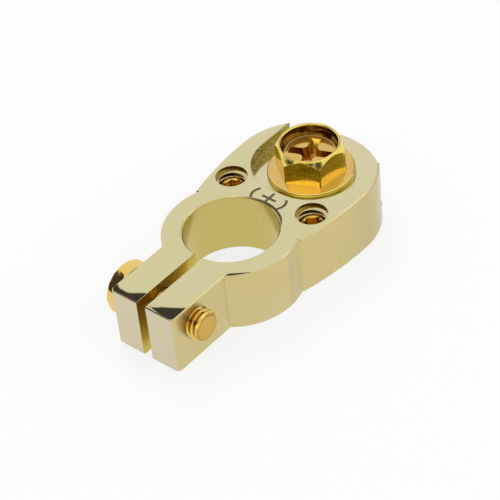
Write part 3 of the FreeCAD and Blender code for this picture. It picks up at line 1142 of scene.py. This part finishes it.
@dataclass(kw_only=True)
class TerminalBolt(Screw):
    """The flange bolt over the cable lug: indented hexagon head, cross recess, M8 thread.

    Sizes are in millimetres, heights from the flange's underside.
    """

    node: str = "terminal_bolt"
    hex_width: float = 11.75
    hex_turn: float = 54.0
    flange_edge: float = 1.10
    flange_round: float = 0.32
    flange_top: float = 1.37
    corner_drop: float = 1.75
    rim_outer: float = 5.87
    rim_inner: float = 5.32
    cup_depth: float = 2.4
    cup_floor: float = 5.05
    cup_fillet: float = 0.35
    cross_reach: float = 4.2
    cross_width: float = 1.9
    cross_corner: float = 1.15
    cross_taper: float = 0.6
    cross_depth: float = 2.6
    cross_turn: float = 22.0
    shank: float = 9.8
    end_chamfer: float = 0.6
    thread: Thread = Thread(crest=3.95, pitch=1.25)
    hole: TappedHole = TappedHole("terminal_hole_thread", 4.05, -9.95, -0.05)
    # The cup's wall past shade_radius takes painted shade.
    finish: BoltPlating = BoltPlating(
        "terminal_plating", recess_radius=rim_inner, shade_radius=cross_reach + 0.2)
    head_height: float = field(init=False)
    flange_radius: float = field(init=False)

    def seat(self, low: Vector, high: Vector) -> None:
        """Set the axis from the flange's underside, and the head's height and radius.

        Args:
            low: the box's lower corner in metres.
            high: its upper corner.
        """
        underside = low.z + self.shank * MM
        self.axis = upright((low.x + high.x) / 2, (low.y + high.y) / 2, underside)
        self.head_height = (high.z - underside) / MM
        self.flange_radius = (high.x - low.x) / 2 / MM

    def model(self) -> Piece:
        """Model the bolt.

        Returns:
            The bolt.
        """
        piece = self.model_crown()
        combine(piece, Cut.JOIN, self.model_flange())
        combine(piece, Cut.TAKE, self.model_cup())
        combine(piece, Cut.TAKE, self.model_cross())
        combine(piece, Cut.JOIN, self.model_shank())
        return piece

    def model_crown(self) -> Piece:
        """Model the hexagon with its corners rounded off towards the rim.

        Returns:
            The hexagon.
        """
        top = self.head_height
        corner = self.hex_width / 2 * HEX_CORNER
        shoulder = [
            (corner + 0.05, top - self.corner_drop - 0.05),
            (corner - 0.12, top - self.corner_drop + 0.22),
            (corner - 0.36, top - 1.14),
            (corner - 0.58, top - 0.80),
            (self.rim_outer + 0.13, top - 0.52),
            (self.rim_outer, top - 0.33),
        ]
        points = [(0.0, 0.4), (corner + 0.05, 0.4), *shoulder, *self.lip_points(), (0.0, top - 0.2)]
        crown = turn_profile(self.axis, points)
        hexagon = hex_prism(self.axis, self.hex_width, 0.5, top + 1, self.hex_turn)
        combine(hexagon, Cut.KEEP, crown)
        return hexagon

    def lip_points(self) -> list[Point]:
        """List the rounded top of the rim, from its outside inwards."""
        half = (self.rim_outer - self.rim_inner) / 2
        middle = (self.rim_outer + self.rim_inner) / 2
        return arc_points((middle, self.head_height - half), half, 0, 180, 8)

    def model_flange(self) -> Piece:
        """Model the flange, with its rounded edge and the slope up to the hexagon.

        Returns:
            The flange.
        """
        edge = self.flange_radius
        curve = arc_points(
            (edge - self.flange_round, self.flange_edge - self.flange_round),
            self.flange_round, 0, 84, 6)
        points = [
            (0.0, 0.0),
            (edge - 0.1, 0.0),
            (edge, 0.1),
            (edge, 0.35),
            (edge - 0.04, 0.42),
            (edge - 0.04, self.flange_edge - self.flange_round),
            *curve[1:],
            (self.hex_width / 2 - 0.3, self.flange_top),
            (0.0, self.flange_top),
        ]
        return turn_profile(self.axis, points, 96)

    def model_cup(self) -> Piece:
        """Model the hollow of the head, which is cut out.

        Returns:
            The hollow.
        """
        top = self.head_height
        floor = top - self.cup_depth
        lip = (self.rim_outer - self.rim_inner) / 2
        fillet = arc_points(
            (self.cup_floor - self.cup_fillet, floor + self.cup_fillet), self.cup_fillet, -90, 0, 5)
        points = [
            (0.0, floor),
            *fillet,
            (self.cup_floor + 0.06, top - 1.15),
            (self.rim_inner, top - lip),
            (self.rim_inner, top + 0.5),
            (0.0, top + 0.5),
        ]
        return turn_profile(self.axis, points)

    def model_cross(self) -> Piece:
        """Model the driver's cross recess: four arms, round between, that narrow downwards.

        Returns:
            The recess.
        """
        deselect_all()
        floor = self.head_height - self.cup_depth
        low = floor - self.cross_depth
        high = floor + 0.3
        middle = self.axis.start + self.axis.along * (low + high) / 2 * MM
        bpy.ops.mesh.primitive_cube_add(size=MM, location=middle)
        piece = bpy.context.active_object
        enter_edit()
        size = (self.cross_width, self.cross_width, high - low)
        bpy.ops.transform.resize(value=size)
        reach = (self.cross_reach - self.cross_width / 2) * MM
        for x, y in ((1, 0), (-1, 0), (0, 1), (0, -1)):
            way = Vector((x, y, 0))
            place = way * self.cross_width / 2 * MM
            pick_faces(piece, lambda face: (face.center - place).length < 0.1 * MM)
            bpy.ops.mesh.extrude_region_move(TRANSFORM_OT_translate={"value": way * reach})
        bpy.ops.mesh.select_all(action="SELECT")
        bpy.ops.mesh.dissolve_limited(angle_limit=math.radians(1))
        inner = self.cross_width / math.sqrt(2) * MM
        pick_edges(piece, lambda first, last: abs(first.xy.length - inner) < 1e-5
                   and abs(last.xy.length - inner) < 1e-5 and abs(first.z - last.z) > MM)
        bpy.ops.mesh.bevel(offset=self.cross_corner * MM, segments=6, affect="EDGES")
        pick_faces(piece, lambda face: face.normal.z < -0.9)
        taper = (self.cross_taper, self.cross_taper, 1.0)
        bpy.ops.transform.resize(value=taper, center_override=middle)
        bpy.ops.mesh.select_all(action="SELECT")
        bpy.ops.transform.rotate(
            value=-math.radians(self.cross_turn), orient_axis="Z", center_override=middle)
        leave_edit()
        return piece

    def model_shank(self) -> Piece:
        """Model the threaded shank.

        Returns:
            The shank.
        """
        bottom = -self.shank
        crest = self.thread.crest
        points = [
            (0.0, bottom),
            (crest - self.end_chamfer, bottom),
            (crest, bottom + self.end_chamfer),
            (crest, -0.4),
            (crest - 0.6, 0.3),
            (0.0, 0.3),
        ]
        return self.thread.rod(self.axis, 9, 1, points)


@dataclass(kw_only=True)
class PinchBolt(Screw):
    """The bolt across the ears: low hexagon head at -X, M6 thread, chamfered end at +X.

    Sizes are in millimetres, heights along +X from the head's underside.
    """

    node: str = "pinch_bolt"
    hex_width: float = 9.45
    hex_turn: float = 9.5
    head_height: float = 2.55
    face_radius: float = 4.95
    face_drop: float = 0.15
    corner_wear: float = 0.30
    base_radius: float = 4.75
    base_drop: float = 0.5
    end_chamfer: float = 0.5
    thread: Thread = Thread(crest=2.95, pitch=1.0)
    hole: TappedHole = TappedHole("pinch_hole_thread", 3.05, 8.3, 14.3)
    finish: BoltPlating = BoltPlating(
        "pinch_plating", letter="X", flat=(0.610, 0.385, 0.065), side=(0.800, 0.560, 0.150))
    shank: float = field(init=False)

    def seat(self, low: Vector, high: Vector) -> None:
        """Set the axis from the head's underside, and the shank's length.

        Args:
            low: the box's lower corner in metres.
            high: its upper corner.
        """
        underside = low.x + self.head_height * MM
        self.axis = lengthwise(underside, (low.y + high.y) / 2, (low.z + high.z) / 2)
        self.shank = (high.x - underside) / MM

    def model(self) -> Piece:
        """Model the bolt.

        Returns:
            The bolt.
        """
        piece = self.model_head()
        combine(piece, Cut.JOIN, self.model_shank())
        return piece

    def model_head(self) -> Piece:
        """Model the head, with its corners cut back at both ends.

        Returns:
            The head.
        """
        corner = self.hex_width / 2 * HEX_CORNER
        worn = corner - self.corner_wear
        face = -self.head_height
        round_off = 0.28
        points = [
            (0.0, 0.0),
            (self.base_radius, 0.0),
            (worn - 0.08, -self.base_drop),
            (worn, -self.head_height * 0.45),
            (worn - 0.06, face + self.face_drop + round_off),
            *arc_points((self.face_radius - round_off, face + round_off), round_off, -25, -90, 4),
            (self.face_radius - 0.9, face),
            (0.0, face),
        ]
        turned = turn_profile(self.axis, points)
        head = hex_prism(self.axis, self.hex_width, face - 1, 1.0, self.hex_turn)
        combine(head, Cut.KEEP, turned)
        return head

    def model_shank(self) -> Piece:
        """Model the threaded shank.

        Returns:
            The shank.
        """
        crest = self.thread.crest
        end = self.shank
        points = [
            (0.0, -0.3),
            (crest - 0.6, -0.3),
            (crest, 0.3),
            (crest, end - self.end_chamfer),
            (crest - self.end_chamfer, end),
            (0.0, end),
        ]
        return self.thread.rod(self.axis, 2, math.ceil(end) + 1, points)


@dataclass(kw_only=True)
class SetScrew(Screw):
    """One socket set screw over a wire bore.

    Sizes are in millimetres, heights from the screw's top.
    """

    socket_turn: float
    socket_width: float = 3.0
    socket_depth: float = 2.6
    top_chamfer: float = 0.4
    point_radius: float = 1.5
    point_length: float = 1.4
    thread: Thread = Thread(crest=2.9, pitch=1.0)
    length: float = field(init=False)

    @classmethod
    def on_side(cls, side: str, socket_turn: float) -> "SetScrew":
        """Make the screw of one side.

        Args:
            side: left or right.
            socket_turn: its socket's turn in degrees.

        Returns:
            The screw.
        """
        node = f"set_screw_{side}"
        # The socket's walls inside recess_radius take painted shade.
        finish = BoltPlating(node + "_plating", flat=(0.620, 0.400, 0.120),
                             side=(0.700, 0.440, 0.080), recess_radius=1.85)
        hole = TappedHole(f"screw_hole_thread_{side}", 3.0, -5.0, 1.1)
        return cls(node=node, finish=finish, hole=hole, socket_turn=socket_turn)

    def seat(self, low: Vector, high: Vector) -> None:
        """Set the axis from the screw's top, and its length.

        Args:
            low: the box's lower corner in metres.
            high: its upper corner.
        """
        self.axis = upright((low.x + high.x) / 2, (low.y + high.y) / 2, high.z)
        self.length = (high.z - low.z) / MM

    def model(self) -> Piece:
        """Model the screw.

        Returns:
            The screw.
        """
        crest = self.thread.crest
        low = -self.length
        trim = [
            (0.0, low),
            (self.point_radius, low),
            (crest, low + self.point_length),
            (crest, -self.top_chamfer),
            (crest - self.top_chamfer, 0.0),
            (0.0, 0.0),
        ]
        piece = self.thread.rod(self.axis, 6, 1, trim)
        combine(piece, Cut.TAKE, self.model_socket())
        return piece

    def model_socket(self) -> Piece:
        """Model the hexagon socket with its countersink and drilled bottom, which is cut out.

        Returns:
            The socket.
        """
        socket = hex_prism(
            self.axis, self.socket_width, -self.socket_depth, 0.5, self.socket_turn)
        corner = self.socket_width / 2 * HEX_CORNER
        sink = [
            (0.0, -self.socket_depth - 0.5),
            (self.socket_width / 2 - 0.1, -self.socket_depth + 0.1),
            (self.socket_width / 2 - 0.1, -0.35),
            (corner + 0.12, 0.0),
            (corner + 0.12, 0.5),
            (0.0, 0.5),
        ]
        combine(socket, Cut.JOIN, turn_profile(self.axis, sink))
        return socket


@dataclass
class PolarityMark:
    """A plus between two round brackets, etched on the block's top face. Millimetres."""

    top: float = 12.5
    thickness: float = 0.012
    stroke: float = 0.52
    plus_centre: Point = (0.37, 10.24)
    plus_span: float = 3.2
    bracket_radius: float = 2.25
    bracket_sweep: float = 92.0
    left_edge: float = -3.5
    right_edge: float = 4.21
    bracket_height: float = 10.15

    def build(self, stain: MarkStain, block: Block) -> None:
        """Lay the strokes on the block.

        Args:
            stain: their finish.
            block: the block.
        """
        plus = self.bar(self.plus_span, self.stroke)
        combine(plus, Cut.JOIN, self.bar(self.stroke, self.plus_span))
        strokes = {
            "plus": plus,
            "bracket_left": self.bracket(self.left_edge + self.bracket_radius, 180.0),
            "bracket_right": self.bracket(self.right_edge - self.bracket_radius, 0.0),
        }
        material = stain.build()
        for name, piece in strokes.items():
            hand_over(piece, f"polarity_{name}", material, block.node)

    def bar(self, wide: float, deep: float) -> Piece:
        """Make one bar of the plus, with soft ends.

        Args:
            wide: size across the block.
            deep: size along it.

        Returns:
            The bar.
        """
        deselect_all()
        x, y = self.plus_centre
        place = Vector((x, y, self.top + self.thickness / 2)) * MM
        bpy.ops.mesh.primitive_cube_add(size=MM, location=place)
        piece = bpy.context.active_object
        enter_edit()
        bpy.ops.transform.resize(value=(wide, deep, self.thickness))
        pick_edges(piece, lambda first, last: (first - last).xy.length < TINY)
        bpy.ops.mesh.bevel(offset=self.stroke * 0.3 * MM, segments=3, affect="EDGES")
        leave_edit()
        return piece

    def bracket(self, centre_x: float, facing: float) -> Piece:
        """Make one round bracket by turning a short stroke.

        Args:
            centre_x: where the bracket's centre lies across the block.
            facing: the angle of its middle, in degrees from +X.

        Returns:
            The bracket.
        """
        start = math.radians(facing + self.bracket_sweep / 2)
        out = Vector((math.cos(start), math.sin(start), 0))
        centre = Vector((centre_x, self.bracket_height, self.top)) * MM
        axis = Axis(centre, Vector((0, 0, 1)), out, "Z")
        outer = self.bracket_radius
        piece = draw_profile(axis, [(outer - self.stroke, 0.0), (outer, 0.0)])
        enter_edit()
        bpy.ops.mesh.spin(
            steps=18, angle=math.radians(self.bracket_sweep), center=centre, axis=(0, 0, 1))
        bpy.ops.mesh.select_all(action="SELECT")
        bpy.ops.mesh.extrude_region_move(
            TRANSFORM_OT_translate={"value": (0, 0, self.thickness * MM)})
        leave_edit()
        return piece


@dataclass
class Studio:
    """A pale floor, soft light and the camera at the photograph's angle. Millimetres, degrees."""

    azimuth: float = 43.605
    elevation: float = 40.671
    roll: float = -6.160
    distance: float = 384.895
    target: Way = (0.0, 8.0, 7.0)
    pixels_per_mm: float = 5.4913
    target_pixel: Point = (261.96, 227.29)
    sensor: float = 36.0
    floor_size: float = 8000.0
    open_light: float = 0.72
    floor_shares: Shares = (0.80, 0.85, 0.72)
    lamp_distance: float = 900.0
    lamp_size: float = 420.0
    card_distance: float = 700.0
    dark: Colour = (0.065, 0.055, 0.060)
    white: Colour = (1.45, 1.42, 1.36)
    bright: Colour = (1.70, 1.66, 1.28)

    def build(self) -> None:
        """Set up the whole studio."""
        self.add_camera()
        self.add_floor()
        self.light_world()
        self.add_lamp("key_lamp", (-0.55, 0.35, 0.76), 1.9)
        self.add_lamp("fill_lamp", (0.75, 0.25, 0.60), 1.1)
        cards = (
            ("dark_card_front", (-0.52, -0.66, 0.56), (520.0, 460.0), self.dark),
            ("dark_card_low", (0.06, -0.75, 0.655), (400.0, 210.0), self.dark),
            ("dark_card_camera", (0.42, -0.70, 0.55), (420.0, 300.0), self.dark),
            ("dark_card_rear", (-0.03, 0.84, 0.46), (460.0, 200.0), self.dark),
            ("dark_card_side", (0.80, -0.34, 0.48), (260.0, 260.0), self.dark),
            ("light_strip_front", (0.12, -0.88, 0.43), (520.0, 175.0), self.bright),
            ("light_panel_front", (0.08, -0.52, 0.85), (420.0, 240.0), self.white),
            ("light_strip_side", (0.90, -0.36, 0.22), (560.0, 230.0), self.white),
            ("light_strip_rear", (0.78, 0.48, 0.42), (420.0, 230.0), self.white),
        )
        for card in cards:
            self.add_card(*card)
        bpy.context.scene.view_settings.view_transform = "Standard"

    def axes(self) -> tuple[Vector, Vector, Vector]:
        """Work out the camera's right, up and back.

        Returns:
            The three directions.
        """
        turn = math.radians(self.azimuth)
        tilt = math.radians(self.elevation)
        roll = math.radians(self.roll)
        back = Vector((
            math.sin(turn) * math.cos(tilt), -math.cos(turn) * math.cos(tilt), math.sin(tilt)))
        right = Vector((math.cos(turn), math.sin(turn), 0))
        up = back.cross(right)
        right_rolled = right * math.cos(roll) + up * math.sin(roll)
        up_rolled = up * math.cos(roll) - right * math.sin(roll)
        return right_rolled, up_rolled, back

    def add_camera(self) -> None:
        """Place the camera and frame the object as in the photograph."""
        right, up, back = self.axes()
        data = bpy.data.cameras.new("camera")
        data.sensor_width = self.sensor
        data.lens = self.sensor * self.pixels_per_mm * self.distance / IMAGE_PIXELS
        middle = IMAGE_PIXELS / 2
        data.shift_x = (middle - self.target_pixel[0]) / IMAGE_PIXELS
        data.shift_y = (self.target_pixel[1] - middle) / IMAGE_PIXELS
        data.clip_start = 0.01
        data.clip_end = 50.0
        camera = bpy.data.objects.new("camera", data)
        bpy.context.scene.collection.objects.link(camera)
        matrix = Matrix((right, up, back)).transposed().to_4x4()
        matrix.translation = (Vector(self.target) + back * self.distance) * MM
        camera.matrix_world = matrix
        bpy.context.scene.camera = camera

    def add_floor(self) -> None:
        """Lay a white floor that still takes the object's shadow."""
        deselect_all()
        bpy.ops.mesh.primitive_plane_add(size=self.floor_size * MM, location=(0, 0, -0.02 * MM))
        floor = bpy.context.active_object
        floor.name = "floor"
        material, graph = new_graph("floor_white")
        lit = graph.node("ShaderNodeBsdfDiffuse", {}, {"Color": (0.93, 0.93, 0.93, 1.0)})
        glow = graph.node("ShaderNodeEmission", {}, {"Color": (1, 1, 1, 1), "Strength": 1.0})
        share = self.plain_share(graph, self.floor_shares)
        both = graph.node("ShaderNodeMixShader", {}, {
            0: share, 1: lit.outputs[0], 2: glow.outputs[0]})
        graph.show(both)
        dress(floor, material)

    @staticmethod
    def plain_share(graph: NodeGraph, shares: Shares) -> Value:
        """Weigh the rays to which a surface shows plain white.

        Args:
            graph: the surface's graph.
            shares: for the camera's rays, for reflections and for rays through glass.

        Returns:
            The present ray's share.
        """
        rays = graph.node("ShaderNodeLightPath").outputs
        names = ("Is Camera Ray", "Is Glossy Ray", "Is Transmission Ray")
        seen, mirrored, through = (
            Value(graph, rays[name]) * share for name, share in zip(names, shares))
        return seen.larger(mirrored).larger(through)

    def light_world(self) -> None:
        """Light evenly from all round, with plain white behind and in reflections."""
        world = bpy.data.worlds.new("studio")
        bpy.context.scene.world = world
        world.use_nodes = True
        graph = NodeGraph(world.node_tree)
        plain = self.plain_share(graph, (1.0, 1.0, 1.0))
        strength = self.open_light + plain * (1 - self.open_light)
        sky = graph.node("ShaderNodeBackground", {}, {"Color": (1, 1, 1, 1), "Strength": strength})
        graph.show(sky, "ShaderNodeOutputWorld")

    @staticmethod
    def hang(way: Way, distance: float) -> tuple[Vector, Euler]:
        """Give the place and turn of what hangs in a direction and faces the object."""
        direction = Vector(way).normalized()
        return direction * distance * MM, direction.to_track_quat("Z", "Y").to_euler()

    def add_lamp(self, name: str, way: Way, power: float) -> None:
        """Hang a square soft lamp that points at the object.

        Args:
            name: the lamp's name.
            way: direction from the object to the lamp.
            power: its power in watts.
        """
        data = bpy.data.lights.new(name, "AREA")
        data.shape = "SQUARE"
        data.size = self.lamp_size * MM
        data.energy = power
        lamp = bpy.data.objects.new(name, data)
        bpy.context.scene.collection.objects.link(lamp)
        lamp.location, lamp.rotation_euler = self.hang(way, self.lamp_distance)
        lamp.visible_glossy = False

    def add_card(self, name: str, way: Way, size: Point, shade: Colour) -> None:
        """Stand a card that only the metal's reflections show.

        Args:
            name: the card's name.
            way: direction from the object to the card.
            size: its width and height.
            shade: the light that it gives, 1 for the brightness of the room.
        """
        deselect_all()
        place, rotation = self.hang(way, self.card_distance)
        bpy.ops.mesh.primitive_plane_add(size=MM, location=place, rotation=rotation)
        card = bpy.context.active_object
        card.name = name
        card.scale = (size[0], size[1], 1.0)
        material, graph = new_graph(name)
        glow = graph.node("ShaderNodeEmission", {}, {"Color": (*shade, 1.0), "Strength": 1.0})
        graph.show(glow)
        dress(card, material)
        card.visible_camera = False
        card.visible_diffuse = False
        card.visible_transmission = False
        card.visible_shadow = False


def main() -> None:
    """Build the clamp's looks and its studio."""
    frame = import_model()
    block = Block()
    plating = block.build(frame["nodes"])
    screws = (
        TerminalBolt(), PinchBolt(), SetScrew.on_side("left", 45.0), SetScrew.on_side("right", 15.0))
    for screw in screws:
        screw.build()
    for screw in screws:
        screw.line_hole(block, plating)
    PolarityMark().build(MarkStain(), block)
    Studio().build()


if __name__ == "__main__":
    logging.basicConfig(level=logging.INFO, format="%(message)s")
    main()
